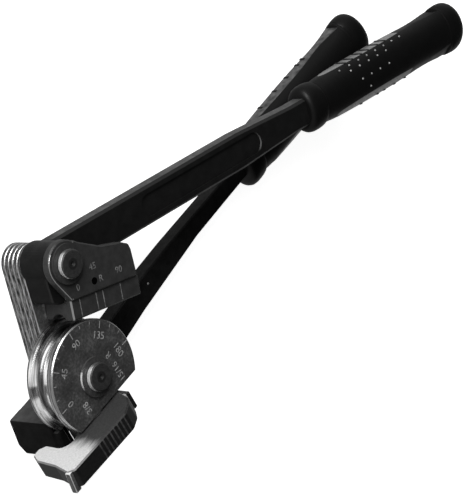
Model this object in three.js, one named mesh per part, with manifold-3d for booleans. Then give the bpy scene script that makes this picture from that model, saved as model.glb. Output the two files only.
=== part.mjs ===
// Hand tube bender for 3/8 inch tube, lying on its back: a bending form on one long handle,
// a forming shoe and a second long handle on a laminated link, and a latch that holds the tube.
// Millimetres. X runs from the form pivot towards the grips, Y is across, Z is up, out of the
// form face. The origin is the middle of the form pivot pin's tail face. The levels below are
// counted from the back of the form handle, and every piece is set down by the pin tail's level.

import * as THREE from 'three';
import { mergeVertices } from 'three/addons/utils/BufferGeometryUtils.js';
import Module from 'manifold-3d';

const wasm = await Module();
wasm.setup();

// Driving sizes.
const tubeDiameter = 9.525;
const tubeClearance = 0.15;         // radial room between a groove and the tube
const bendRadius = 23.8;            // to the tube's centreline
const rimPastCentreline = 0.5;
const formThickness = 16;
const chordDistance = 13.4;         // form axis to the flat that carries the latch
const gap = 0.3;                    // between neighbouring pieces
const runningGap = 0.06;            // radial, shaft in bore
const linkLength = 50.8;            // form pivot to shoe pivot
const linkAngle = 72.7;             // degrees from X at rest
const linkHalfWidth = 8.5;
const linkPlates = 5;
const linkPlateThickness = 2.3;
const pinRadius = 3.97;
const pinHeadRadius = 6.15;
const pinHeadHeight = 2.3;
const bushWall = 1.5;
const washerRadius = 8.6;
const washerThickness = 1.1;
const clipThickness = 1.2;
const clipRadius = 6.3;
const clipGrooveDepth = 0.9;
const headThickness = 12.7;         // form handle, behind the link
const barThickness = 8.3;
const backBarWidth = 8.6;           // form handle's shank at its grip
const frontBarWidth = 16.7;         // shoe handle's bar
const frontShankWidth = 13;         // shoe handle's bar at its grip
const frontHandleAngle = -15.4;     // degrees from X
const backHandleAngle = 1;
const knuckleRadius = 9.5;
const gripWidth = 24.5;
const gripThickness = 18;
const gripClearance = 2.5;          // between the two crossing grips
const frontGripStart = 176;         // from the shoe pivot, along the handle
const frontGripLength = 130;
const backGripStart = 152;          // from the form pivot
const backGripLength = 116;
const shoeAngle = -23.1;            // degrees from X: the straight groove's direction
const shoeLength = 39;
const cheekThickness = 4;
const cheekProud = 2;               // cheek front past the form's face
const blockShy = 1.2;               // shoe block front behind the cheek front
const blockPast = 1.5;              // shoe block past the cheek at its far end
const shoeEar = 10;
const heelReach = 17.2;             // shoe handle's heel, from the shoe pivot
const latchThickness = 9;
const latchPivotIn = 8;             // pivot to form axis, along X
const latchPivotDrop = 6;           // pivot to form face
const screwRadius = 2.5;
const screwHeadRadius = 4.4;
const screwHeadHeight = 3;
const formScrewRadius = 1.1;
const formScrewHeadRadius = 1.8;
const edgeBreak = 0.6;              // bevel on outlines

// Levels, derived.
const linkBack = headThickness + gap;
const linkStack = linkPlates * linkPlateThickness + (linkPlates - 1) * gap;
const linkFront = linkBack + linkStack;
const formBack = linkFront + gap;
const formFront = formBack + formThickness;
const grooveLevel = (formBack + formFront) / 2;
const grooveRadius = tubeDiameter / 2 + tubeClearance;
const formRadius = bendRadius + rimPastCentreline;
const cheekFront = formFront + cheekProud;
const cheekBack = cheekFront - cheekThickness;
const backGripCentre = gripThickness / 2;
const frontGripCentre = gripThickness + gripClearance + gripThickness / 2;
const backBarTop = headThickness - gap;
const backBarBottom = backBarTop - barThickness;
const boreRadius = pinRadius + runningGap;
const bushRadius = boreRadius + bushWall;
const linkBore = bushRadius + runningGap;
const latchLevel = formFront - latchPivotDrop;
const ringLevel = linkBack - gap - clipThickness;
const tailLevel = ringLevel - gap - edgeBreak;
const latchNear = chordDistance + 4 * gap;
const latchFar = latchNear + latchThickness;
const rad = Math.PI / 180;
const shoePin = [linkLength * Math.cos(linkAngle * rad), linkLength * Math.sin(linkAngle * rad)];

// Facets round a full turn.
const fine = 96;
const medium = 48;
const coarse = 24;

const solidOf = (geometry) => {
  const bare = geometry.clone();
  bare.deleteAttribute('normal');
  bare.deleteAttribute('uv');
  const merged = mergeVertices(bare, gap / 1000);
  return new wasm.Manifold(new wasm.Mesh({
    numProp: 3,
    vertProperties: new Float32Array(merged.attributes.position.array),
    triVerts: new Uint32Array(merged.index.array),
  }));
};

// A closed prism from a plan outline, with a broken edge all round.
const prism = (outline, low, high, bevel = edgeBreak) => {
  const shape = outline.isShape ? outline : new THREE.Shape(outline.map((p) => new THREE.Vector2(p[0], p[1])));
  const geometry = new THREE.ExtrudeGeometry(shape, {
    depth: high - low - 2 * bevel,
    bevelEnabled: bevel > 0,
    bevelThickness: bevel,
    bevelSize: bevel,
    bevelOffset: -bevel,
    bevelSegments: 1,
    curveSegments: coarse,
  });
  geometry.translate(0, 0, low + bevel);
  return geometry;
};

// A body of revolution about Z: points are [radius, level], listed once round the section.
const turned = (points, segments = medium) => {
  const closed = points.concat([points[0]]).map((p) => new THREE.Vector2(p[0], p[1]));
  return new THREE.LatheGeometry(closed, segments).rotateX(Math.PI / 2).scale(1, -1, 1);
};

const flip = (geometry) => {
  const index = geometry.index.array;
  for (let i = 0; i < index.length; i += 3) {
    const held = index[i];
    index[i] = index[i + 1];
    index[i + 1] = held;
  }
  return geometry;
};

const revolve = (points, segments = medium) => solidOf(flip(turned(points, segments)));

const rod = (radius, low, high, x = 0, y = 0, segments = medium) => solidOf(
  new THREE.CylinderGeometry(radius, radius, high - low, segments)
    .rotateX(Math.PI / 2).translate(x, y, (low + high) / 2),
);

const block = (x0, y0, z0, x1, y1, z1) => solidOf(
  new THREE.BoxGeometry(x1 - x0, y1 - y0, z1 - z0).translate((x0 + x1) / 2, (y0 + y1) / 2, (z0 + z1) / 2),
);

const rodAlongY = (radius, x, y0, y1, z, segments = medium) => solidOf(
  new THREE.CylinderGeometry(radius, radius, Math.abs(y1 - y0), segments).translate(x, (y0 + y1) / 2, z),
);

// Outline with every corner rounded by the radius in its third number.
const rounded = (corners) => {
  const points = [];
  const count = corners.length;
  const steps = 5;
  corners.forEach((corner, i) => {
    const here = new THREE.Vector2(corner[0], corner[1]);
    const back = corners[(i + count - 1) % count];
    const next = corners[(i + 1) % count];
    const a = new THREE.Vector2(back[0], back[1]).sub(here);
    const b = new THREE.Vector2(next[0], next[1]).sub(here);
    const radius = corner[2] || 0;
    if (radius === 0) {
      points.push([here.x, here.y]);
      return;
    }
    const half = Math.acos(a.dot(b) / (a.length() * b.length())) / 2;
    const reach = Math.min(radius / Math.tan(half), a.length() / 2, b.length() / 2);
    const from = here.clone().addScaledVector(a.normalize(), reach);
    const to = here.clone().addScaledVector(b.normalize(), reach);
    if (reach < edgeBreak / 2) {
      points.push([here.x, here.y]);
      return;
    }
    for (let k = 0; k <= steps; k += 1) {
      const t = k / steps;
      const p = from.clone().multiplyScalar((1 - t) * (1 - t))
        .addScaledVector(here, 2 * t * (1 - t)).addScaledVector(to, t * t);
      points.push([p.x, p.y]);
    }
  });
  return points;
};

const turnedTo = (solid, angle, x, y) => solid.rotate([0, 0, angle]).translate([x, y, 0]);
const arcPoints = (radius, from, to, steps, x = 0, y = 0) => Array.from({ length: steps + 1 }, (_, i) => {
  const angle = (from + (to - from) * (i / steps)) * rad;
  return [x + radius * Math.cos(angle), y + radius * Math.sin(angle)];
});

// Colours: [colour, roughness, metalness].
const finishes = {
  satinSteel: ['#8d8f90', 0.38, 0.9],
  brightSteel: ['#c9cbcc', 0.22, 1],
  blackOxide: ['#2b2c2e', 0.45, 0.7],
  darkBar: ['#3a3b3d', 0.5, 0.7],
  vinyl: ['#202123', 0.62, 0],
  bronze: ['#9a7a45', 0.4, 0.9],
  dullSteel: ['#707273', 0.5, 0.85],
};

const group = new THREE.Group();
group.name = 'tube_bender';

const add = (name, solid, finish) => {
  const out = solid.translate([0, 0, -tailLevel]).simplify(gap / 30).getMesh();
  const geometry = new THREE.BufferGeometry();
  geometry.setAttribute('position', new THREE.BufferAttribute(new Float32Array(out.vertProperties), 3));
  geometry.setIndex(Array.from(out.triVerts));
  geometry.computeVertexNormals();
  const [colour, roughness, metalness] = finishes[finish];
  const material = new THREE.MeshStandardMaterial({ color: colour, roughness, metalness });
  material.name = finish;
  const mesh = new THREE.Mesh(geometry, material);
  mesh.name = name;
  group.add(mesh);
};

// Bending form: a grooved disc with a flat chord.
const grooveHalf = Math.sqrt(grooveRadius ** 2 - rimPastCentreline ** 2);
const grooveStart = Math.atan2(grooveHalf, rimPastCentreline) / rad;
const grooveSection = arcPoints(grooveRadius, 360 - grooveStart, grooveStart, 16, bendRadius, grooveLevel);
const formProfile = [
  [boreRadius, formBack], [formRadius - edgeBreak, formBack], [formRadius, formBack + edgeBreak],
  ...grooveSection,
  [formRadius, formFront - edgeBreak], [formRadius - edgeBreak, formFront], [boreRadius, formFront],
];
const reach = 4 * formRadius;
const formScrewY = -0.88 * chordDistance;
const formScrewXs = [-0.45 * formRadius, 0.62 * formRadius];
const formScrewDepth = 0.42 * formThickness;
const screwTip = 0.48 * chordDistance;
let form = revolve(formProfile, fine)
  .subtract(block(-reach, -reach, -reach, reach, -chordDistance, reach))
  .subtract(rodAlongY(screwRadius + runningGap, -latchPivotIn, -reach, -screwTip, latchLevel, coarse));
formScrewXs.forEach((x) => {
  form = form.subtract(rod(formScrewRadius + runningGap, 0, formBack + formScrewDepth, x, formScrewY, coarse));
});
add('form', form, 'satinSteel');

// Form handle: head block with a raised left end, lug that carries the form, bar, and tang.
const headShares = [
  [-0.877, -0.387, 1], [-0.975, -0.868, 3], [-0.926, -1.144, 1.5], [1.4, -0.905, 4], [1.4, -0.33, 4],
  [0.835, -0.387, 4],
];
const headPoint = (i, inset = 0) => [headShares[i][0] * formRadius, headShares[i][1] * formRadius + inset, headShares[i][2]];
const headEdgeAt = (x) => {
  const [from, to] = [headPoint(2), headPoint(3)];
  return from[1] + (to[1] - from[1]) * ((x - from[0]) / (to[0] - from[0]));
};
const headNear = -headPoint(0)[1];
const towerRight = -0.58 * formRadius;
const plateLeft = -0.74 * formRadius;
const towerTop = formBack - 2 * gap;
const bridgeRight = 0.84 * formRadius;
const bridgeFar = latchNear - gap;
const stepTop = latchLevel - 0.78 * formRadius;
const stepFar = 1.03 * formRadius;
const shankStart = 1.8 * linkLength;
const barCentre = (x) => -0.26 * formRadius + Math.tan(backHandleAngle * rad) * (x - backGripStart);
const tangShare = 0.8;
const backTangEnd = backGripStart + tangShare * backGripLength;
const backGripAxis = barCentre(backGripStart);
const shankHalf = backBarWidth / 2;
const tower = solidOf(prism(rounded([
  [towerRight, -headNear], headPoint(0), headPoint(1), headPoint(2), [towerRight, headEdgeAt(towerRight)],
]), 0, towerTop));
const headPlate = solidOf(prism(rounded([
  [plateLeft, -headNear - gap / 2], [plateLeft, headEdgeAt(plateLeft) + gap / 2],
  headPoint(3, gap / 2), headPoint(4), headPoint(5, -gap / 2),
]), 0, headThickness));
const shankNear = 0.97 * backGripStart;
const backBar = solidOf(prism(rounded([
  [0.55 * formRadius, -0.86 * formRadius], [headPoint(3)[0], -0.88 * formRadius],
  [1.22 * linkLength, -0.7 * formRadius, 6], [2.15 * linkLength, barCentre(2.15 * linkLength) - 1.12 * shankHalf, 6],
  [shankNear, barCentre(shankNear) - shankHalf, 4], [backTangEnd, barCentre(backTangEnd) - shankHalf],
  [backTangEnd, barCentre(backTangEnd) + shankHalf], [shankStart, barCentre(shankStart) + shankHalf, 4],
  [1.4 * linkLength, -0.165 * formRadius, 4], [0.79 * linkLength, -0.288 * formRadius, 4],
  [0.55 * formRadius, -0.42 * formRadius],
]), backBarBottom, backBarTop));
const riser = solidOf(prism([
  [-stepFar, headThickness / 2], [-headNear - gap / 2, headThickness / 2],
  [-headNear - gap / 2, linkFront], [-bridgeFar, linkFront], [-bridgeFar, stepTop],
  [-stepFar, stepTop],
], plateLeft - gap, bridgeRight, gap).rotateX(Math.PI / 2).rotateZ(Math.PI / 2));
const restFar = headPoint(2, gap / 2)[1];
const restNear = -1.04 * chordDistance;
const rest = solidOf(prism([
  [plateLeft, restNear], [headPoint(0)[0] - gap, restNear], [headPoint(1)[0] + 2 * gap, headPoint(1)[1]],
  [headPoint(2)[0] + gap, restFar], [plateLeft, restFar + 2 * gap],
], headThickness, grooveLevel - grooveRadius - gap));
let formHandle = tower.add(rest).add(headPlate).add(backBar).add(riser);
const formScrewHeadTop = formScrewRadius * 2;
formScrewXs.forEach((x) => {
  formHandle = formHandle
    .subtract(rod(formScrewRadius + runningGap, -reach, reach, x, formScrewY, coarse))
    .subtract(rod(formScrewHeadRadius + 0.8 * gap, -reach, formScrewHeadTop + 2 * gap, x, formScrewY, coarse));
});
add('form_handle', formHandle, 'darkBar');

// Screws that hold the form to the bridge, heads sunk into the back of the handle.
formScrewXs.forEach((x, i) => {
  const hex = rod(formScrewRadius * 0.8, -reach, gap + formScrewHeadTop / 2, x, formScrewY, 6);
  add(`form_screw_${i + 1}`, rod(formScrewHeadRadius, gap, gap + formScrewHeadTop, x, formScrewY, coarse)
    .add(rod(formScrewRadius, gap, formBack + formScrewDepth - gap, x, formScrewY, coarse))
    .subtract(hex), 'blackOxide');
});

// Headed pivot pins, each with a washer under its head and a ring in a groove at its tail.
const pivotPin = (tail, washerBack, ringBack) => {
  const headBack = washerBack + washerThickness + gap;
  const headFront = headBack + pinHeadHeight;
  const waist = pinRadius - clipGrooveDepth;
  const ringFront = ringBack + clipThickness + gap;
  return revolve([
    [0, tail], [pinRadius - edgeBreak, tail], [pinRadius, tail + edgeBreak], [pinRadius, ringBack - gap / 2],
    [waist, ringBack - gap / 2], [waist, ringFront - gap / 2], [pinRadius, ringFront - gap / 2],
    [pinRadius, headBack], [pinHeadRadius, headBack], [pinHeadRadius, headFront - edgeBreak],
    [pinHeadRadius - edgeBreak, headFront], [pinHeadRadius * 0.2, headFront], [0, headFront - edgeBreak * 1.5],
  ]);
};
const ring = (inner, outer, low, high) => revolve([[inner, low], [outer, low], [outer, high], [inner, high]]);
const clip = (low) => ring(pinRadius - clipGrooveDepth + gap, clipRadius, low, low + clipThickness)
  .subtract(block(0, -pinRadius * 0.55, -reach, reach, pinRadius * 0.55, reach));
const washer = (low) => ring(pinRadius + gap, washerRadius, low, low + washerThickness);

const formWasherBack = formFront + gap;
add('form_pivot_pin', pivotPin(tailLevel, formWasherBack, ringLevel), 'brightSteel');
add('form_pin_washer', washer(formWasherBack), 'satinSteel');
add('form_pin_clip', clip(ringLevel), 'blackOxide');

const shoeWasherBack = cheekFront + gap;
const atShoePin = (solid) => turnedTo(solid, linkAngle, shoePin[0], shoePin[1]);
add('shoe_pivot_pin', atShoePin(pivotPin(tailLevel, shoeWasherBack, ringLevel)), 'brightSteel');
add('shoe_pin_washer', atShoePin(washer(shoeWasherBack)), 'satinSteel');
add('shoe_pin_clip', atShoePin(clip(ringLevel)), 'blackOxide');

// Laminated link: five plates on two bushes.
const plateOutline = [
  ...arcPoints(linkHalfWidth, 90, 270, coarse),
  ...arcPoints(linkHalfWidth, -90, 90, coarse, linkLength),
];
for (let i = 0; i < linkPlates; i += 1) {
  const low = linkBack + i * (linkPlateThickness + gap);
  const plate = solidOf(prism(plateOutline, low, low + linkPlateThickness, edgeBreak / 3))
    .subtract(rod(linkBore, -reach, reach))
    .subtract(rod(linkBore, -reach, reach, linkLength));
  add(`link_plate_${i + 1}`, turnedTo(plate, linkAngle, 0, 0), 'brightSteel');
}
add('link_bush_form', ring(boreRadius, bushRadius, linkBack, linkFront), 'bronze');
add('link_bush_shoe', atShoePin(ring(boreRadius, bushRadius, linkBack, linkFront)), 'bronze');

// Forming shoe, drawn with u along its straight groove and v across, away from the form axis.
const shoePinU = shoePin[0] * Math.cos(shoeAngle * rad) + shoePin[1] * Math.sin(shoeAngle * rad);
const shoePinV = -shoePin[0] * Math.sin(shoeAngle * rad) + shoePin[1] * Math.cos(shoeAngle * rad);
const shoeLeft = shoePinU - 0.018 * shoeLength;
const shoeRight = shoeLeft + shoeLength;
const shoeBottom = formRadius + blockPast;
const blockTop = shoePinV - knuckleRadius - gap;
const cheekShare = 0.5823276;         // of the block's height, up to the cheek's lower edge
const cheekBottom = shoeBottom + cheekShare * (blockTop - shoeBottom);
const cheekShares = [
  [1, 0.18, 1.5], [0.985, 0.4, 1.5], [0.96, 0.47, 2], [0.84, 0.52, 6], [0.55, 0.56, 8],
  [0.235, 0.69, 6], [0.16, 0.74, 4],
];
const cheekOutline = rounded([
  [shoeLeft, cheekBottom, 1], [shoeRight, cheekBottom, 1.2],
  ...cheekShares.map(([s, t, r]) => [shoeLeft + s * shoeLength, cheekBottom + t * shoeLength - 0.1 * shoeLength, r]),
]);
const ear = solidOf(prism(arcPoints(shoeEar, 0, 360 - 360 / medium, medium - 1, shoePinU, shoePinV), cheekBack, cheekFront));
const earWeb = solidOf(prism([
  [shoeLeft, cheekBottom], [shoePinU + shoeEar, cheekBottom + shoeEar / 2],
  [shoePinU + shoeEar * 0.85, shoePinV + shoeEar * 0.45], [shoePinU - shoeEar * 0.97, shoePinV - shoeEar * 0.2],
  [shoePinU - shoeEar * 0.8, shoePinV - shoeEar * 0.62],
], cheekBack, cheekFront));
const blockOutline = rounded([
  [shoeLeft, shoeBottom, 1], [shoeRight + blockPast, shoeBottom, 1],
  [shoeRight + blockPast, cheekBottom - gap, 1], [shoeRight - gap, cheekBottom + gap, 1],
  [shoeRight - gap, blockTop, 1.5],
  [shoeLeft, blockTop, 1.5],
]);
const groove = solidOf(
  new THREE.CylinderGeometry(grooveRadius, grooveRadius, 3 * shoeLength, medium)
    .rotateZ(Math.PI / 2).translate(shoePinU, bendRadius, grooveLevel),
);
const shoe = solidOf(prism(blockOutline, formBack, cheekFront - blockShy))
  .subtract(rod(heelReach + gap, 0, cheekBack + gap / 2, shoePinU, shoePinV))
  .add(solidOf(prism(cheekOutline, cheekBack, cheekFront)))
  .add(ear).add(earWeb)
  .subtract(groove)
  .subtract(rod(boreRadius, -reach, reach, shoePinU, shoePinV));
add('shoe', turnedTo(shoe, shoeAngle, 0, 0), 'dullSteel');

// Shoe handle: knuckle on the shoe pin, flat bar with a long recess, and tang inside the grip.
const frontTangEnd = frontGripStart + tangShare * frontGripLength;
const barHalf = frontBarWidth / 2;
const frontShankHalf = frontShankWidth / 2;
const recessHalf = 0.3 * frontBarWidth;
const recessDepth = barThickness / 9;
const recessFrom = 0.33 * frontGripStart;
const recessTo = 0.8 * frontGripStart;
const barFront = formBack + barThickness;
const heelShares = [
  [-0.5, 0, 0], [-0.54, -0.3, 2], [-0.54, -0.83, 2], [-0.34, -0.94, 1.5], [-0.12, -0.95, 1.5], [-0.06, -0.5, 3],
  [0.3, -0.4, 3], [0.3, 0, 0],
];
const heel = solidOf(prism(
  rounded(heelShares.map(([x, y, r]) => [x * heelReach, y * heelReach, r])), formBack, cheekBack - 2 * gap,
));
const knuckle = rod(knuckleRadius, formBack, cheekBack - gap, 0, 0, medium).add(heel);
const frontBar = solidOf(prism(rounded([
  [0, -barHalf], [0.72 * frontGripStart, -barHalf, 12], [0.94 * frontGripStart, -frontShankHalf, 12],
  [frontTangEnd, -frontShankHalf], [frontTangEnd, frontShankHalf], [0.94 * frontGripStart, frontShankHalf, 12],
  [0.72 * frontGripStart, barHalf, 12], [0, barHalf],
]), formBack, barFront, 2 * edgeBreak));
const recess = solidOf(prism([
  ...arcPoints(recessHalf, 90, 270, coarse / 2, recessFrom + recessHalf),
  ...arcPoints(recessHalf, -90, 90, coarse / 2, recessTo - recessHalf),
], barFront - recessDepth, barFront + recessDepth, 0));
const shoeHandle = knuckle.add(frontBar).subtract(recess).subtract(rod(boreRadius, -reach, reach));
const alongFront = (solid) => turnedTo(solid, frontHandleAngle, shoePin[0], shoePin[1]);
add('shoe_handle', alongFront(shoeHandle), 'darkBar');

// Moulded grips: oval, with a collar, a slight waist and a flared end, flattened on all sides.
const gripShares = [
  [0, 0], [0, 0.74], [0.012, 0.86], [0.035, 0.95], [0.06, 0.97], [0.085, 0.94], [0.11, 0.89], [0.16, 0.89],
  [0.3, 0.93], [0.5, 0.95], [0.68, 0.92], [0.8, 0.9], [0.88, 0.93], [0.94, 1], [0.965, 1], [0.99, 0.93],
  [1, 0.8], [1, 0],
];
const moulding = (length) => {
  const half = gripWidth / 2;
  const flat = 1.06;
  const profile = gripShares.map(([s, r]) => new THREE.Vector2(r * half * flat, s * length));
  const lathe = new THREE.LatheGeometry(profile, medium).rotateZ(-Math.PI / 2);
  lathe.scale(1, 1, (gripThickness / gripWidth) * flat);
  return solidOf(lathe).intersect(block(-1, -half, -gripThickness / 2, length + 1, half, gripThickness / 2));
};
const gripOn = (length, tangLow, tangHigh, centre, halfWidth) => moulding(length).translate([0, 0, centre])
  .subtract(block(-1, -halfWidth - gap, tangLow - gap, tangShare * length + gap, halfWidth + gap, tangHigh + gap));
const frontGrip = gripOn(frontGripLength, formBack, barFront, frontGripCentre, frontShankHalf)
  .translate([frontGripStart, 0, 0]);
add('shoe_grip', alongFront(frontGrip), 'vinyl');
const backGrip = gripOn(backGripLength, backBarBottom, backBarTop, backGripCentre, shankHalf);
add('form_grip', turnedTo(backGrip, backHandleAngle, backGripStart, backGripAxis), 'vinyl');

// Latch: a hook plate that closes over the tube; drawn in X and Z, thickness along Y.
const tubeX = -bendRadius;
const hookInner = grooveRadius;
const pivotX = -latchPivotIn;
const belly = Math.hypot(tubeX - pivotX, grooveLevel - latchLevel) - hookInner;
const latchLow = formBack + gap;
const latchTop = formFront + 1.4 * tubeDiameter;
const heelDrop = latchLevel - latchLow;
const heelX = pivotX - Math.sqrt(Math.max(belly ** 2 - heelDrop ** 2, gap));
const bellyFrom = Math.atan2(latchLow - latchLevel, heelX - pivotX) / rad + 360;
const latchWidth = bendRadius;
const latchOuter = [
  [-0.04 * latchWidth, formFront - 0.9 * formThickness, 3], [0.19 * latchWidth, formFront - 0.5 * formThickness, 3],
  [0.3 * latchWidth, formFront - 0.06 * formThickness, 2], [0.2 * latchWidth, formFront + 0.38 * formThickness, 3],
  [0.02 * latchWidth, formFront + 0.66 * formThickness, 4], [-0.22 * latchWidth, latchTop, 3], [-1.68 * latchWidth, latchTop - 0.1 * formThickness, 1.5],
  [-1.77 * latchWidth, latchTop - 0.28 * formThickness, 1.5], [-1.65 * latchWidth, latchLow + 0.925 * formThickness, 3],
  [-1.59 * latchWidth, latchLow + 0.15 * formThickness, 3], [-1.465 * latchWidth, latchLow - 0.16 * formThickness, 2],
  [tubeX - hookInner - 0.09 * latchWidth, latchLow - 0.16 * formThickness, 1.5],
  [tubeX - hookInner, latchLow, 1],
];
const latchOutline = [
  ...rounded(latchOuter),
  ...arcPoints(hookInner, 180, 0, coarse / 2, tubeX, grooveLevel),
  ...arcPoints(belly, 187, bellyFrom, coarse / 2, pivotX, latchLevel).slice(1),
];
const standing = (outline, near, far, bevel) => solidOf(
  prism(outline, near, far, bevel).rotateX(Math.PI / 2),
);
const lipShares = [
  [0.218, 0.125], [0.277, 0.275], [0.34, 0.262], [0.349, -0.19], [0.252, -0.5], [0.126, -0.5],
];
const lip = standing(
  lipShares.map(([x, z]) => [x * latchWidth, formFront + z * formThickness]), latchNear + gap, latchFar, gap,
);
const latchBody = standing(latchOutline, latchNear, latchFar, edgeBreak).add(lip)
  .subtract(rodAlongY(screwRadius + runningGap, pivotX, -reach, 0, latchLevel, coarse))
  .subtract(rodAlongY(screwHeadRadius + gap, pivotX, -reach, -latchFar + screwHeadHeight + 2 * gap, latchLevel, coarse));
add('latch', latchBody, 'dullSteel');

// Shouldered screw that the latch turns on, with a thin washer against the form's flat.
const screwHeadNear = -latchFar + screwHeadHeight + gap;
const screwHeadFar = -latchFar + gap;
add('latch_pivot_screw', rodAlongY(screwHeadRadius, pivotX, screwHeadFar, screwHeadNear, latchLevel, coarse)
  .add(rodAlongY(screwRadius, pivotX, screwHeadFar, -screwTip - gap, latchLevel, coarse))
  .subtract(rodAlongY(screwRadius * 0.7, pivotX, -reach, screwHeadFar + screwHeadHeight / 2, latchLevel, 6)), 'blackOxide');
add('latch_washer', rodAlongY(washerRadius * 0.7, pivotX, -chordDistance - gap, -latchNear + gap, latchLevel, coarse)
  .subtract(rodAlongY(screwRadius + gap, pivotX, -reach, 0, latchLevel, coarse)), 'satinSteel');

export default group;
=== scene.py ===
import math

import bpy
from mathutils import Matrix, Vector


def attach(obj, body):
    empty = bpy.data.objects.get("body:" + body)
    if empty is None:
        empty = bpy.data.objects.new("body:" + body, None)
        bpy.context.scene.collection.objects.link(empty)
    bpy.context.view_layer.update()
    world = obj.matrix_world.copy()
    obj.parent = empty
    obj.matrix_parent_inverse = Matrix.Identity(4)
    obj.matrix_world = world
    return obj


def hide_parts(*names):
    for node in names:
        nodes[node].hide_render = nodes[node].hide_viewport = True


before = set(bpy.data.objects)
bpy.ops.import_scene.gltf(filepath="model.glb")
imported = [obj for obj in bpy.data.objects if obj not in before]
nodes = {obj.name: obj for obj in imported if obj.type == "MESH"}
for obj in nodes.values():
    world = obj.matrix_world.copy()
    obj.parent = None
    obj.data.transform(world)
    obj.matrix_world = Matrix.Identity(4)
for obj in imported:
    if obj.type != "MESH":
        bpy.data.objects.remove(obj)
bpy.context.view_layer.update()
MM = 0.001
RAD = math.pi / 180

# Levels and places in millimetres, in the row frame.
BENCH = -10.6
FORM_FACE = 31.4
FORM_PIN_FACE = 35.4
SHOE_BLOCK_FACE = 32.2
CHEEK_FACE = 33.4
SHOE_PIN_FACE = 37.4
FORM_PIN = (0.0, 0.0)
SHOE_PIN = (15.107, 48.502)

# Directions in degrees from X.
SHOE_ANGLE = -23.1
FRONT_ANGLE = -15.4
BACK_ANGLE = 1.0


def shift(x, y, z):
    return Matrix.Translation((x * MM, y * MM, z * MM))


def turned(angle, axis="Z"):
    return Matrix.Rotation(angle * RAD, 4, axis)


# Places whose X runs along the shoe and out along each grip.
SHOE = turned(SHOE_ANGLE)
FRONT_GRIP = shift(*SHOE_PIN, 0) @ turned(FRONT_ANGLE) @ shift(176, 0, 18.9)
BACK_GRIP = shift(152, -6.318, 0) @ turned(BACK_ANGLE) @ shift(0, 0, -1.6)


def rgba(colour):
    """A grey level, or a tuple of red, green and blue, as four numbers."""
    return (*(colour if isinstance(colour, tuple) else (colour,) * 3), 1)


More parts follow.
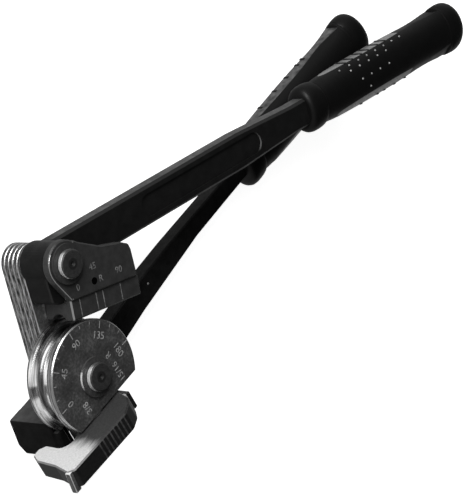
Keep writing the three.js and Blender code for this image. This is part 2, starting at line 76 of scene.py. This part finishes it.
class Finish:
    """A Principled material on Object coordinates, with helpers for its nodes.

    Coordinates are in metres. past, band, from_axis and bump take millimetres.
    """

    def __init__(self, name, colour, rough, metal, spec=0.5):
        self.m = bpy.data.materials.new(name)
        self.m.use_nodes = True
        self.n = self.m.node_tree.nodes
        self.l = self.m.node_tree.links
        self.b = self.n["Principled BSDF"]
        self.to("Base Color", colour)
        self.to("Roughness", rough)
        self.to("Metallic", metal)
        self.to("Specular IOR Level", spec)
        coordinates = self.node("TexCoord").outputs
        self.co = coordinates["Object"]
        self.x, self.y, self.z = self.node("SeparateXYZ", {0: self.co}).outputs
        self.nx, self.ny, self.nz = self.node("SeparateXYZ", {0: coordinates["Normal"]}).outputs

    def put(self, socket, value):
        """Link a node's output to socket, or set a plain value there."""
        if hasattr(value, "links"):
            self.l.new(value, socket)
        elif socket.type == "RGBA":
            socket.default_value = rgba(value)
        else:
            socket.default_value = value

    def to(self, name, value):
        self.put(self.b.inputs[name], value)

    def node(self, kind, values=None):
        node = self.n.new("ShaderNode" + kind)
        for key, value in (values or {}).items():
            self.put(node.inputs[key], value)
        return node

    def noise(self, scale, detail=4, rough=0.6, vector=None):
        values = {"Scale": scale, "Detail": detail, "Roughness": rough, "Vector": vector or self.co}
        return self.node("TexNoise", values).outputs["Fac"]

    def stretched(self, scale):
        return self.node("Mapping", {"Scale": scale, "Vector": self.co}).outputs["Vector"]

    def ramp(self, value, *stops):
        """Greys or colours between stops of (position, colour)."""
        node = self.node("ValToRGB", {"Fac": value})
        elements = node.color_ramp.elements
        for i, (at, colour) in enumerate(stops):
            element = elements[i] if i < 2 else elements.new(at)
            element.position = at
            element.color = rgba(colour)
        return node.outputs["Color"]

    def mix(self, share, a, b):
        """Colour a where share is 0, colour b where it is 1."""
        node = self.n.new("ShaderNodeMix")
        node.data_type = "RGBA"
        for i, value in ((0, share), (6, a), (7, b)):
            self.put(node.inputs[i], value)
        return node.outputs[2]

    def math(self, operation, *values):
        node = self.node("Math", dict(enumerate(values)))
        node.operation = operation
        return node.outputs[0]

    def plus(self, a, b):
        return self.math("ADD", a, b)

    def minus(self, a, b):
        return self.math("SUBTRACT", a, b)

    def times(self, first, *others):
        for other in others:
            first = self.math("MULTIPLY", first, other)
        return first

    def inverse(self, mask):
        return self.minus(1.0, mask)

    def step(self, value, low, high):
        """0 below low, 1 above high."""
        node = self.node("MapRange", {"Value": value, "From Min": low, "From Max": high})
        node.interpolation_type = "SMOOTHSTEP"
        return node.outputs["Result"]

    def past(self, length, low, high):
        return self.step(length, low * MM, high * MM)

    def band(self, length, start, full, fading, end):
        """1 from full to fading, 0 before start and after end."""
        return self.minus(self.past(length, start, full), self.past(length, fading, end))

    def along(self, x, y, direction):
        """How far x and y reach in a direction across the tool."""
        return self.plus(self.times(x, direction[0]), self.times(y, direction[1]))

    def from_axis(self, x, y):
        """Distance from the upright axis through x, y."""
        dx = self.minus(self.x, x * MM)
        dy = self.minus(self.y, y * MM)
        return self.math("SQRT", self.plus(self.times(dx, dx), self.times(dy, dy)))

    def faces_left(self, low, high):
        """1 on walls that face -X, the left of the picture."""
        return self.step(self.times(self.nx, -1.0), low, high)

    def bevelled(self):
        """1 on the 45 degree edge breaks round an outline, 0 on faces and walls."""
        slope = self.math("ABSOLUTE", self.minus(self.math("ABSOLUTE", self.nz), 0.707))
        return self.math("LESS_THAN", slope, 0.2)

    def mottle(self, scale, colours, roughs, stops=(0.3, 0.7)):
        """Colour and roughness that follow one noise."""
        cloud = self.noise(scale)
        self.to("Base Color", self.ramp(cloud, *zip(stops, colours)))
        self.to("Roughness", self.ramp(cloud, (0.3, roughs[0]), (0.7, roughs[1])))

    def bump(self, height, strength, depth):
        values = {"Strength": strength, "Distance": depth * MM, "Height": height}
        self.to("Normal", self.node("Bump", values).outputs["Normal"])


# Black paint on the front handle: fine pebble, with painted light greying its +Y side and a painted
# highlight on the round end wall of its recess, and lighter on its broken edges.
paint = Finish("bar_black", 0.007, 0.42, 0.0, 0.17)
cloud = paint.noise(170, 5, 0.65)
bar_side = (math.sin(-FRONT_ANGLE * RAD), math.cos(FRONT_ANGLE * RAD))
bar_line = SHOE_PIN[0] * bar_side[0] + SHOE_PIN[1] * bar_side[1]
off_line = paint.minus(paint.along(paint.x, paint.y, bar_side), bar_line * MM)
in_recess = paint.inverse(paint.past(paint.math("ABSOLUTE", off_line), 5.3, 5.8))
upright = paint.inverse(paint.step(paint.nz, 0.4, 0.6))
recess_end = paint.times(
    in_recess, upright, paint.past(paint.z, 21.5, 22), paint.past(paint.x, 146.5, 150),
)
upper_side = paint.times(
    paint.step(paint.ny, 0.8, 0.95), paint.past(paint.x, 20, 30), paint.inverse(in_recess),
)
coat = paint.ramp(cloud, (0.3, 0.0045), (0.7, 0.0095))
bar_lit_side_grey = paint.ramp(cloud, (0.3, 0.03), (0.7, 0.075))
coat = paint.mix(recess_end, paint.mix(upper_side, coat, bar_lit_side_grey), 0.1)
paint.to("Base Color", paint.mix(paint.times(paint.bevelled(), 0.6), coat, 0.02))
sheen = paint.ramp(cloud, (0.3, 0.5), (0.7, 0.36))
paint.to("Roughness", paint.mix(paint.faces_left(0.2, 0.6), sheen, 0.85))
paint.bump(paint.noise(2400, 3), 0.3, 0.2)

# Head block: the same black, with painted light greying its +Y face on the side of the link.
head = Finish("head_block_black", 0.007, 0.45, 0.0, 0.06)
cloud = head.noise(240, 5, 0.65)
link_side = head.times(
    head.step(head.ny, 0.8, 0.95), head.inverse(head.past(head.x, 18, 30)),
)
coat = head.ramp(cloud, (0.3, 0.005), (0.7, 0.011))
head_lit_side_grey = head.ramp(cloud, (0.3, 0.035), (0.7, 0.06))
head.to("Base Color", head.mix(link_side, coat, head_lit_side_grey))
sheen = head.ramp(cloud, (0.3, 0.52), (0.7, 0.4))
head.to("Roughness", head.mix(head.faces_left(0.2, 0.6), sheen, 0.85))
head.bump(head.noise(2200, 3), 0.25, 0.2)

# Moulded vinyl grips, and the smoother lands along their narrow edges, painted light grey as a
# painted highlight on the front grip and in a painted-shade copy on the back grip.
vinyl = Finish("grip_vinyl", 0.004, 0.4, 0.0, 0.16)
vinyl.mottle(150, (0.0032, 0.0052), (0.46, 0.34))
vinyl.bump(vinyl.noise(2600, 3), 0.2, 0.15)

land = Finish("grip_land", 0.03, 0.3, 0.0, 0.8)
land.mottle(420, (0.13, 0.22), (0.38, 0.24))
land.bump(land.noise(2600, 2, 0.5), 0.12, 0.1)

back_land = Finish("grip_land_shaded", 0.02, 0.35, 0.0, 0.4)
back_land.mottle(300, (0.02, 0.1), (0.4, 0.28), (0.35, 0.65))

# Form: dark satin marked face, and a plated rim and groove with turned lines.
form = Finish("form_steel", 0.7, 0.15, 1.0)
face = form.past(form.z, FORM_FACE - 0.2, FORM_FACE - 0.1)
grain = form.times(form.noise(900, 4, 0.7), 0.55)
stain = form.times(form.noise(120), 0.45)
satin = form.ramp(form.plus(grain, stain), (0.34, 0.026), (0.5, 0.052), (0.66, 0.12))
radius = form.from_axis(*FORM_PIN)
round_the_form = form.node("CombineXYZ", {
    0: form.times(radius, 1500.0),
    1: form.times(form.z, 1100.0),
    2: form.times(form.math("ARCTAN2", form.y, form.x), 1.6),
}).outputs[0]
turned_lines = form.noise(1, 3, vector=round_the_form)
plated = form.ramp(turned_lines, (0.36, 0.16), (0.48, 0.4), (0.6, 0.8))
tarnish = form.times(form.step(form.noise(60, 3), 0.5, 0.62), 0.55)
plated = form.mix(tarnish, plated, 0.06)

# Two painted highlight bands, on the back rim and in the groove over an arc on the left, with
# painted shade on the hollow between them. around is the angle in radians from -X.
hollow_shade = form.band(form.z, 19.1, 19.5, 20.3, 21.1)
plated = form.mix(form.times(hollow_shade, 0.8), plated, 0.05)
around = form.math("ARCTAN2", form.times(form.y, -1.0), form.times(form.x, -1.0))
arc = form.minus(form.step(around, -1.15, -0.8), form.step(around, 0.1, 0.4))
break_in_arc = form.minus(form.step(around, -0.54, -0.46), form.step(around, -0.34, -0.22))
on_rim = form.band(form.z, 16.8, 17.2, 18.9, 19.3)
in_groove = form.band(form.z, 20.8, 21.5, 23.8, 25.2)
highlight_bands = form.times(form.plus(on_rim, in_groove), form.minus(arc, break_in_arc))
plated = form.mix(highlight_bands, plated, form.ramp(turned_lines, (0.36, 0.4), (0.52, 0.95)))
rim_edge = form.times(form.bevelled(), form.past(radius, 22, 23))
plated = form.mix(rim_edge, plated, 0.42)
form.to("Base Color", form.mix(face, plated, satin))
form.to("Metallic", form.mix(face, form.mix(highlight_bands, 1.0, 0.35), 0.25))
form.to("Roughness", form.mix(face, 0.27, 0.5))
form.bump(form.noise(1500, 3), 0.06, 0.2)

# Shoe: dark cast steel, with a painted highlight on the edge breaks that face the left.
cast = Finish("shoe_cast", 0.026, 0.5, 0.1, 0.4)
cloud = cast.noise(300, 5, 0.65)
under_edge = cast.band(
    cast.z, CHEEK_FACE - 0.75, CHEEK_FACE - 0.65, CHEEK_FACE - 0.28, CHEEK_FACE - 0.2,
)
left_edge_highlight = cast.times(cast.bevelled(), cast.faces_left(0.28, 0.5), cast.inverse(under_edge))
cast.to("Base Color", cast.mix(left_edge_highlight, cast.ramp(cloud, (0.3, 0.021), (0.7, 0.036)), 0.42))
cast.to("Metallic", cast.mix(left_edge_highlight, 0.1, 0.9))
cast.to("Roughness", cast.mix(left_edge_highlight, 0.5, 0.3))
cast.bump(cast.noise(2000, 3), 0.2, 0.2)

# Link plates: edges in two bands, bright at the front of each plate and darker grey behind.
PLATES_START = 2.4
PLATE_PITCH = 2.6
plate = Finish("link_plate", 0.5, 0.34, 1.0)
level = plate.math("MODULO", plate.minus(plate.z, PLATES_START * MM), PLATE_PITCH * MM)
front = plate.past(level, 1.6, 2.0)
drawn = plate.noise(1, 4, 0.7, plate.stretched((300, 300, 2600)))
rear_band_grey = plate.ramp(drawn, (0.4, 0.012), (0.5, 0.13), (0.6, 0.6))
bright = plate.ramp(drawn, (0.34, 0.24), (0.6, 0.85))
plate.to("Base Color", plate.mix(front, rear_band_grey, bright))
plate.to("Roughness", plate.ramp(drawn, (0.3, 0.46), (0.7, 0.26)))
plate.bump(drawn, 0.35, 0.3)


def pin_finish(name, axis, end_face):
    """A turned side with a painted highlight on the left, and a darker faced end with painted shade
    in its centre mark.
    """
    pin = Finish(name, 0.7, 0.16, 1.0)
    radius = pin.from_axis(*axis)
    centre_dimple_shade = pin.math("LESS_THAN", radius, 2.4 * MM)
    rings = pin.times(pin.math("SINE", pin.times(radius, 9000.0)), 0.1)
    faced = pin.ramp(pin.plus(rings, pin.noise(700, 4, 0.65)), (0.3, 0.018), (0.75, 0.042))
    faced = pin.mix(centre_dimple_shade, faced, 0.012)
    end = pin.math("MAXIMUM", pin.past(pin.z, end_face - 0.62, end_face - 0.5), centre_dimple_shade)
    left_highlight = pin.step(pin.along(pin.nx, pin.ny, (-0.98, 0.18)), 0.05, 0.6)
    side = pin.mix(left_highlight, 0.12, pin.ramp(pin.noise(420), (0.3, 0.6), (0.7, 0.95)))
    pin.to("Base Color", pin.mix(end, side, faced))
    pin.to("Metallic", pin.mix(end, 0.45, 0.3))
    pin.to("Roughness", pin.mix(end, 0.28, 0.55))
    return pin


form_pin = pin_finish("form_pin_bright", FORM_PIN, FORM_PIN_FACE)
shoe_pin = pin_finish("shoe_pin_bright", SHOE_PIN, SHOE_PIN_FACE)

# Washer: a dark flat top, and a painted highlight on its wall towards the left.
washer = Finish("washer_bright", 0.6, 0.25, 1.0)
flat = washer.step(washer.nz, 0.8, 0.95)
left_highlight = washer.step(washer.along(washer.nx, washer.ny, (-0.88, 0.47)), 0.86, 0.97)
top = washer.ramp(washer.noise(900, 4, 0.65), (0.3, 0.03), (0.7, 0.07))
washer.to("Base Color", washer.mix(flat, washer.mix(left_highlight, 0.08, 0.9), top))
washer.to("Metallic", washer.mix(flat, 0.35, 0.3))
washer.to("Roughness", washer.mix(flat, 0.3, 0.45))

# Latch: dull casting, its side towards the form painted lighter and its other sides darker as
# painted light and shade, with a painted highlight on the hook.
latch = Finish("latch_cast", 0.08, 0.45, 0.1, 0.3)
grain = latch.noise(1100, 4, 0.65)
form_side = latch.step(latch.ny, 0.6, 0.9)
streaks = latch.noise(1, vector=latch.stretched((160, 160, 900)))
ragged_x = latch.plus(latch.x, latch.times(streaks, 8 * MM))
hook = latch.times(form_side, latch.inverse(latch.past(ragged_x, -25.5, -16.5)))
latch_lit_side_grey = latch.ramp(grain, (0.3, 0.026), (0.7, 0.055))
latch_shaded_side_grey = latch.ramp(grain, (0.3, 0.005), (0.7, 0.014))
hook_highlight_grey = latch.ramp(grain, (0.3, 0.46), (0.7, 0.64))
# A painted highlight stripe across the latch's end, off the side towards the form.
end_highlight = latch.times(
    latch.band(latch.x, 4.2, 4.7, 6.0, 6.4), latch.step(latch.nz, 0.1, 0.3),
    latch.inverse(form_side),
)
sides = latch.mix(end_highlight, latch_shaded_side_grey, 0.7)
latch.to("Base Color", latch.mix(hook, latch.mix(form_side, sides, latch_lit_side_grey), hook_highlight_grey))
latch.to("Roughness", latch.mix(hook, 0.45, 0.4))
latch.bump(grain, 0.1, 0.2)

# The latch's corner foot: bright edges round grey flats, the bright edges a painted highlight.
foot_steel = Finish("latch_foot_bright", 0.5, 0.35, 0.3)
end_on = foot_steel.math("ABSOLUTE", foot_steel.nx)
face_on = foot_steel.math("ABSOLUTE", foot_steel.nz)
flat = foot_steel.step(foot_steel.math("MAXIMUM", end_on, face_on), 0.93, 0.97)
grey = foot_steel.ramp(foot_steel.noise(1100), (0.3, 0.04), (0.7, 0.14))
foot_steel.to("Base Color", foot_steel.mix(flat, 0.75, grey))

bronze = Finish("bush_bronze", (0.4, 0.27, 0.12), 0.4, 0.95)
cloud = bronze.noise(600, 4, 0.55)
bronze.to("Base Color", bronze.ramp(cloud, (0.3, (0.3, 0.2, 0.09)), (0.7, (0.48, 0.34, 0.16))))


def plain_steel(name, greys, rough, metal, spec=0.5):
    steel = Finish(name, greys[1], rough, metal, spec)
    steel.mottle(600, greys, (rough + 0.08, rough - 0.06))
    return steel


oxide = plain_steel("black_oxide", (0.012, 0.03), 0.42, 0.4)
rib_steel = plain_steel("latch_rib", (0.03, 0.12), 0.4, 0.5)
light_print_and_highlight = plain_steel("light_print_and_stud_highlight", (0.12, 0.42), 0.5, 0.0)
grey_mark = plain_steel("mark_grey", (0.05, 0.26), 0.5, 0.0)
hole_shade = plain_steel("hole_shade_dark", (0.0005, 0.001), 0.9, 0.0, 0.02)

# The link's plates take the plate finish.
finish_of = {
    "form": form, "form_handle": head, "form_grip": vinyl,
    "form_screw_1": oxide, "form_screw_2": oxide,
    "form_pivot_pin": form_pin, "form_pin_washer": washer, "form_pin_clip": oxide,
    "shoe": cast, "shoe_handle": paint, "shoe_grip": vinyl,
    "shoe_pivot_pin": shoe_pin, "shoe_pin_washer": cast, "shoe_pin_clip": oxide,
    "link_bush_form": bronze, "link_bush_shoe": bronze,
    "latch": latch, "latch_pivot_screw": oxide, "latch_washer": washer,
}


def pick(*objs):
    """Select these objects alone, and make the first one active."""
    bpy.ops.object.select_all(action="DESELECT")
    for obj in objs:
        obj.select_set(True)
    bpy.context.view_layer.objects.active = objs[0]


def smooth(obj, angle):
    pick(obj)
    bpy.ops.object.shade_smooth_by_angle(angle=angle * RAD)


def dress(obj, finish, angle):
    obj.data.materials.clear()
    obj.data.materials.append(finish.m)
    smooth(obj, angle)


for name, obj in nodes.items():
    dress(obj, finish_of.get(name, plate), 28)


# Making by hand: a primitive, shaped in edit mode, then placed in its mesh.
def edit(obj, action="SELECT"):
    pick(obj)
    bpy.ops.object.mode_set(mode="EDIT")
    bpy.ops.mesh.select_all(action=action)


def settle(obj, name, body, finish, angle, place=None):
    """Bring a finished piece to its place, dress it and let it ride on a body."""
    pick(obj)
    bpy.ops.object.transform_apply(location=True, rotation=True, scale=True)
    obj.name = name
    if place is not None:
        obj.data.transform(place)
    dress(obj, finish, angle)
    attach(obj, body)


def joined(objs):
    pick(*objs)
    bpy.ops.object.join()
    return objs[0]


def drawn_out(stations, sides):
    """A disc extruded along X through stations of (x, half width, half height)."""
    bpy.ops.mesh.primitive_circle_add(
        vertices=sides, radius=MM, fill_type="NGON", rotation=(0, 90 * RAD, 0),
    )
    obj = bpy.context.object
    bpy.ops.object.transform_apply(location=True, rotation=True, scale=True)
    edit(obj)
    x, wide, tall = stations[0]
    bpy.ops.transform.resize(value=(1, wide, tall), center_override=(0, 0, 0))
    bpy.ops.transform.translate(value=(x * MM, 0, 0))
    for next_x, next_wide, next_tall in stations[1:]:
        bpy.ops.mesh.extrude_region_move(
            TRANSFORM_OT_translate={"value": ((next_x - x) * MM, 0, 0)},
        )
        bpy.ops.transform.resize(
            value=(1, next_wide / wide, next_tall / tall), center_override=(next_x * MM, 0, 0),
        )
        x, wide, tall = next_x, next_wide, next_tall
    bpy.ops.mesh.select_all(action="SELECT")
    bpy.ops.mesh.normals_make_consistent(inside=False)
    bpy.ops.object.mode_set(mode="OBJECT")
    return obj


def block(size, at, turn=0.0, bevel=0.0):
    """A small bar, size and middle in millimetres, turned about Z."""
    bpy.ops.mesh.primitive_cube_add(
        size=1, location=[c * MM for c in at], rotation=(0, 0, turn * RAD),
    )
    obj = bpy.context.object
    obj.scale = [c * MM for c in size]
    bpy.ops.object.transform_apply(location=True, rotation=True, scale=True)
    if bevel:
        edit(obj)
        bpy.ops.mesh.bevel(offset=bevel * MM, segments=2, affect="EDGES")
        bpy.ops.object.mode_set(mode="OBJECT")
    return obj


def ball(radius, at, segments):
    bpy.ops.mesh.primitive_uv_sphere_add(
        segments=segments, ring_count=8, radius=radius * MM, location=[c * MM for c in at],
    )
    return bpy.context.object


# Grips. Each station is (x, share of the half width, share of the half height).
GRIP_HALF_WIDTH = 12.0
GRIP_HALF_HEIGHT = 8.9
# Past the collar x is a share of the grip's length.
CORE_START = ((11, 0.84, 0.95), (14, 0.88, 0.96), (18, 0.915, 0.965))
CORE = (
    (0.18, 0.942, 0.97), (0.24, 0.962, 0.975), (0.34, 0.982, 0.985), (0.45, 0.99, 0.99),
    (0.55, 0.985, 0.985), (0.63, 0.962, 0.975), (0.69, 0.94, 0.965), (0.735, 0.935, 0.962),
    (0.775, 0.945, 0.967), (0.81, 0.965, 0.975), (0.84, 0.992, 0.985), (0.862, 1.015, 0.99),
)
COLLAR = (
    (0, 0.66, 0.7), (0.25, 0.76, 0.8), (0.9, 0.86, 0.89), (2.2, 0.93, 0.95),
    (4.2, 0.965, 0.975), (7, 0.968, 0.98), (9, 0.955, 0.975), (10.4, 0.93, 0.965),
    (11.2, 0.885, 0.95), (11.6, 0.83, 0.92),
)
# Here x is measured back from the grip's end.
CORE_END = (13.3, 1.025, 0.99)
BELL = (
    (14, 0.96, 0.96), (13.6, 1.03, 1.0), (12.9, 1.05, 1.01), (12.3, 1.035, 1.0),
    (11.7, 1.06, 1.015), (8.5, 1.075, 1.02), (6, 1.06, 1.01), (4.2, 1.02, 0.98),
    (2.7, 0.955, 0.93), (1.5, 0.87, 0.86), (0.6, 0.76, 0.76), (0.15, 0.63, 0.64),
    (0, 0.45, 0.47),
)
# Flats along a grip: distance from its centreline, and the way that each one faces.
LANDS = ((11.0, 1.0, 0.0), (11.3, -1.0, 0.0), (9.95, -0.72, 0.694))
NOTCH_FOOT = -3.4


def cut_core(core, plump, land_end, land_finish):
    """Cut the lands into a grip's core, and give them their painted-highlight finish up to
    land_end.
    """
    edit(core)
    for distance, across, up in LANDS:
        bpy.ops.mesh.select_all(action="SELECT")
        bpy.ops.mesh.bisect(
            plane_co=(0, plump * distance * across * MM, plump * distance * up * MM),
            plane_no=(0, across, up), use_fill=True, clear_outer=True, threshold=1e-7,
        )
    bpy.ops.mesh.select_all(action="SELECT")
    bpy.ops.mesh.bisect(plane_co=(land_end * MM, 0, 0), plane_no=(1, 0, 0), threshold=1e-7)
    bpy.ops.object.mode_set(mode="OBJECT")
    core.data.materials.append(vinyl.m)
    core.data.materials.append(land_finish.m)
    for f in core.data.polygons:
        on_land = any(
            f.normal.dot(Vector((0, across, up))) > 0.9999
            and abs(f.center.y * across + f.center.z * up - plump * distance * MM) < 0.01 * MM
            for distance, across, up in LANDS
        )
        f.material_index = 1 if on_land and f.center.x < land_end * MM else 0


def grip(
    name, length, plump, place, body, node, land_finish, land_end,
    notches, notch_lean, notch_height, low_notches,
):
    """A shaped grip: a core with its lands, a collar and an end bell, and notches in the lands."""
    def round_form(stations, sides):
        half_width = GRIP_HALF_WIDTH * plump
        sizes = [(x, wide * half_width, tall * GRIP_HALF_HEIGHT) for x, wide, tall in stations]
        return drawn_out(sizes, sides)

    def from_end(stations):
        return [(length - x, wide, tall) for x, wide, tall in stations]

    middle = [(share * length, wide, tall) for share, wide, tall in CORE]
    core = round_form([*CORE_START, *middle, *from_end([CORE_END])], 96)
    cut_core(core, plump, land_end, land_finish)
    collar = round_form(COLLAR, 72)
    collar.data.materials.append(vinyl.m)
    bell = round_form(from_end(BELL), 72)
    bell.data.materials.append(vinyl.m)
    obj = joined([core, collar, bell])
    obj.name = name
    obj.data.transform(place)
    smooth(obj, 32)
    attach(obj, body)
    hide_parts(node)
    upper_land, lower_land = LANDS[0][0], LANDS[1][0]
    level = NOTCH_FOOT + notch_height / 2
    cuts = [
        block((1.5, 0.3, notch_height), (x, plump * upper_land, level), notch_lean, 0.1)
        for x in notches
    ]
    cuts += [block((1.6, 0.4, 6.0), (x, -lower_land, 0), 0, 0.12) for x in low_notches]
    settle(joined(cuts), name + "_notches", body, vinyl, 30, place)


grip(
    "front_grip", 126.5, 1.0, FRONT_GRIP, "upper_handle", "shoe_grip", land, 80,
    notches=(35.9, 41.6, 48.8, 54.6, 62, 67.9), notch_lean=18, notch_height=6.8,
    low_notches=(40.5, 54, 59.6, 68, 77),
)
grip(
    "back_grip", 110.5, 1.05, BACK_GRIP, "base", "form_grip", back_land, 103,
    notches=(32, 45, 56, 66, 71), notch_lean=0, notch_height=3.0, low_notches=(),
)

# Studs in rows on the front grip, coloured light as painted highlights: each row's y, and the
# places along it.
STUD_ROWS = (
    (9.8, (28.6, 36.4, 43.7, 50.6, 57.5, 64.4, 71.1, 77.6)),
    (7.6, (34.6, 41.8, 49.0, 56.1, 63.2)),
    (1.8, (39.4, 46.5, 53.6, 61.0)),
    (-3.7, (44.2,)),
)
studs = []
for row, xs in STUD_ROWS:
    surface = 8.75 * (1 - (abs(row) / 11.9) ** 2) ** 0.5
    studs += [ball(0.5, (x, row, surface + 0.02), 14) for x in xs]
settle(joined(studs), "grip_studs", "upper_handle", light_print_and_highlight, 60, FRONT_GRIP)

# A small pip standing on the back bar.
settle(ball(0.6, (70.4, -8.7, 1.6), 16), "bar_pip", "base", grey_mark, 60)

# Ribs across the latch's outer face, which falls away towards the hook.
RIB_COUNT = 8
RIB_PITCH = 2.4
ribs = []
for i in range(RIB_COUNT):
    x = -7.0 - RIB_PITCH * i
    fall = 0.046 * max(0.0, -x - 9)
    ribs.append(block((0.8, 8.0, 0.7), (x, -19.1, FORM_FACE + 13.0 - fall), 0, 0.18))
settle(joined(ribs), "latch_ribs", "hook_latch", rib_steel, 30)

# The corner foot under the hook, drawn outwards and down at its lower end.
foot = block((3.3, 10.0, 3.0), (-40.95, -20.0, FORM_FACE + 9.0), 0, 0.45)
edit(foot, "DESELECT")
bpy.ops.object.mode_set(mode="OBJECT")
for v in foot.data.vertices:
    v.select = v.co.y < -20 * MM
bpy.ops.object.mode_set(mode="EDIT")
bpy.ops.transform.translate(value=(-0.9 * MM, 0, -0.9 * MM))
bpy.ops.object.mode_set(mode="OBJECT")
settle(foot, "latch_foot", "hook_latch", foot_steel, 30)

# Stamped figures and lines.
FONT_SCALE = 1.38  # type size over the height of its figures
MARK_RELIEF = 0.03


def figure(string, height, place):
    curve = bpy.data.curves.new("figure", "FONT")
    curve.body = string
    curve.size = height * MM * FONT_SCALE
    curve.align_x = "CENTER"
    curve.align_y = "CENTER"
    curve.resolution_u = 3
    curve.extrude = MARK_RELIEF * MM
    obj = bpy.data.objects.new("figure", curve)
    bpy.context.scene.collection.objects.link(obj)
    pick(obj)
    bpy.ops.object.convert(target="MESH")
    obj = bpy.context.object
    obj.data.transform(place)
    return obj


def line(a, b, width, z):
    length = math.hypot(b[0] - a[0], b[1] - a[1])
    turn = math.atan2(b[1] - a[1], b[0] - a[0]) / RAD
    middle = ((a[0] + b[0]) / 2, (a[1] + b[1]) / 2, z)
    return block((length, width, 2 * MARK_RELIEF), middle, turn)


def polar(radius, angle):
    return radius * math.cos(angle * RAD), radius * math.sin(angle * RAD)


# The form's scale reads clockwise from 0 at -X.
marks = []
for degree in range(0, 181, 15):
    angle = 180 - degree
    inner, width = (20.3, 0.38) if degree % 45 == 0 else (21.9, 0.3)
    marks.append(line(polar(inner, angle), polar(23.4, angle), width, FORM_FACE))
for degree in range(0, 181, 45):
    angle = 180 - degree
    place = shift(*polar(17.2, angle), FORM_FACE) @ turned(angle - 90)
    marks.append(figure(str(degree), 3.3, place))
for string, height, x, y in (
    ("3/8", 3.2, -11.2, -7.6), ("15/16", 3.1, 11.9, -7.4), ("R", 3.0, 11.3, 2.0),
):
    marks.append(figure(string, height, shift(x, y, FORM_FACE) @ turned(90)))
settle(joined(marks), "form_figures", "base", light_print_and_highlight, 20)

shoe_marks = [line((x, 26.6), (x, 34.0), 0.42, SHOE_BLOCK_FACE) for x in (-0.8, 8.8, 12.8, 23.3)]
for string, x, y in (("0", -1.3, 39.1), ("45", 8.8, 45.4), ("R", 12.2, 39.3), ("90", 23.0, 39.9)):
    shoe_marks.append(figure(string, 2.9, shift(x, y, CHEEK_FACE)))
settle(joined(shoe_marks), "shoe_figures", "forming_shoe", grey_mark, 20, SHOE)

# A dark dish, a twentieth of a millimetre high, stands for the cheek's blind hole as painted shade.
hole = drawn_out([(0, 1.55, 1.55), (0.05, 1.55, 1.55), (0.06, 1.3, 1.3), (0.03, 0.5, 0.5)], 32)
place = SHOE @ shift(8.3, 39.3, CHEEK_FACE) @ turned(-90, "Y")
settle(hole, "shoe_blind_hole", "forming_shoe", hole_shade, 30, place)

# Floor: white to the camera, pale in the light and dim in what the steel reflects.
FLOOR_GAP = 0.2
bpy.ops.mesh.primitive_plane_add(size=12, location=(0, 0, (BENCH - FLOOR_GAP) * MM))
floor = bpy.context.object
bpy.ops.object.transform_apply(location=True, rotation=True, scale=True)
floor.name = "floor"
pale = Finish("floor_pale", 0.88, 0.9, 0.0, 0.1)
seen = pale.node("LightPath").outputs
lit = pale.b.outputs[0]
white = pale.node("Emission", {"Strength": 0.86}).outputs[0]
dim = pale.node("Emission", {"Strength": 0.42}).outputs[0]
to_camera = pale.node("AddShader", {0: lit, 1: white}).outputs[0]
to_steel = pale.node("MixShader", {"Fac": seen["Is Glossy Ray"], 1: lit, 2: dim}).outputs[0]
shown = pale.node("MixShader", {"Fac": seen["Is Camera Ray"], 1: to_steel, 2: to_camera})
pale.l.new(shown.outputs[0], pale.n["Material Output"].inputs["Surface"])
floor.data.materials.clear()
floor.data.materials.append(pale.m)

# World: white to the camera, and darker in the direction that the flat faces mirror.
MIRRORED = (0.493, -0.484, 0.723)
world = bpy.data.worlds.new("studio")
bpy.context.scene.world = world
world.use_nodes = True
wn, wl = world.node_tree.nodes, world.node_tree.links
where = wn.new("ShaderNodeTexCoord")
toward = wn.new("ShaderNodeVectorMath")
toward.operation = "DOT_PRODUCT"
toward.inputs[1].default_value = MIRRORED
shade = wn.new("ShaderNodeValToRGB")
for element, (at, grey) in zip(shade.color_ramp.elements, ((0.25, 0.42), (0.75, 0.03))):
    element.position = at
    element.color = rgba(grey)
wl.new(where.outputs["Generated"], toward.inputs[0])
wl.new(toward.outputs["Value"], shade.inputs["Fac"])
sky = wn.new("ShaderNodeMix")
sky.data_type = "RGBA"
wl.new(wn.new("ShaderNodeLightPath").outputs["Is Camera Ray"], sky.inputs[0])
wl.new(shade.outputs["Color"], sky.inputs[6])
sky.inputs[7].default_value = rgba(1)
wl.new(sky.outputs[2], wn["Background"].inputs["Color"])

# One large lamp, high on the +Y side of the tool, with places in metres.
LAMP_PLACE = Vector((-0.15, 0.95, 0.6))
LAMP_AIM = Vector((0.06, 0, 0))
light = bpy.data.lights.new("key", "AREA")
light.shape = "RECTANGLE"
light.size = 1.0
light.size_y = 0.5
light.energy = 15
key = bpy.data.objects.new("key", light)
bpy.context.scene.collection.objects.link(key)
key.location = LAMP_PLACE
key.rotation_euler = (LAMP_AIM - LAMP_PLACE).to_track_quat("-Z", "Y").to_euler()

# Camera, solved on the form, the pins and the handles: its turn in radians, where the
# middle of the form's face lies before it in millimetres, and its focal length in pixels.
CAMERA_TURN = Vector((-2.50148, 0.87463, -1.08327))
FORM_FROM_CAMERA = Vector((-57.6957, 52.8439, 919.30833))
FOCAL_LENGTH = 2200
PICTURE_HEIGHT = 500
view = Matrix.Rotation(CAMERA_TURN.length, 3, CAMERA_TURN.normalized())
eye = -(view.transposed() @ FORM_FROM_CAMERA)
camera = bpy.data.cameras.new("camera")
camera.sensor_width = 36
camera.lens = FOCAL_LENGTH * camera.sensor_width / PICTURE_HEIGHT
camera.clip_start = 0.01
camera.clip_end = 50
cam = bpy.data.objects.new("camera", camera)
bpy.context.scene.collection.objects.link(cam)
aim = Matrix((view[0], -view[1], -view[2])).transposed()
cam.matrix_world = shift(eye.x, eye.y, eye.z + FORM_FACE) @ aim.to_4x4()
bpy.context.scene.camera = cam
bpy.context.scene.view_settings.view_transform = "Standard"
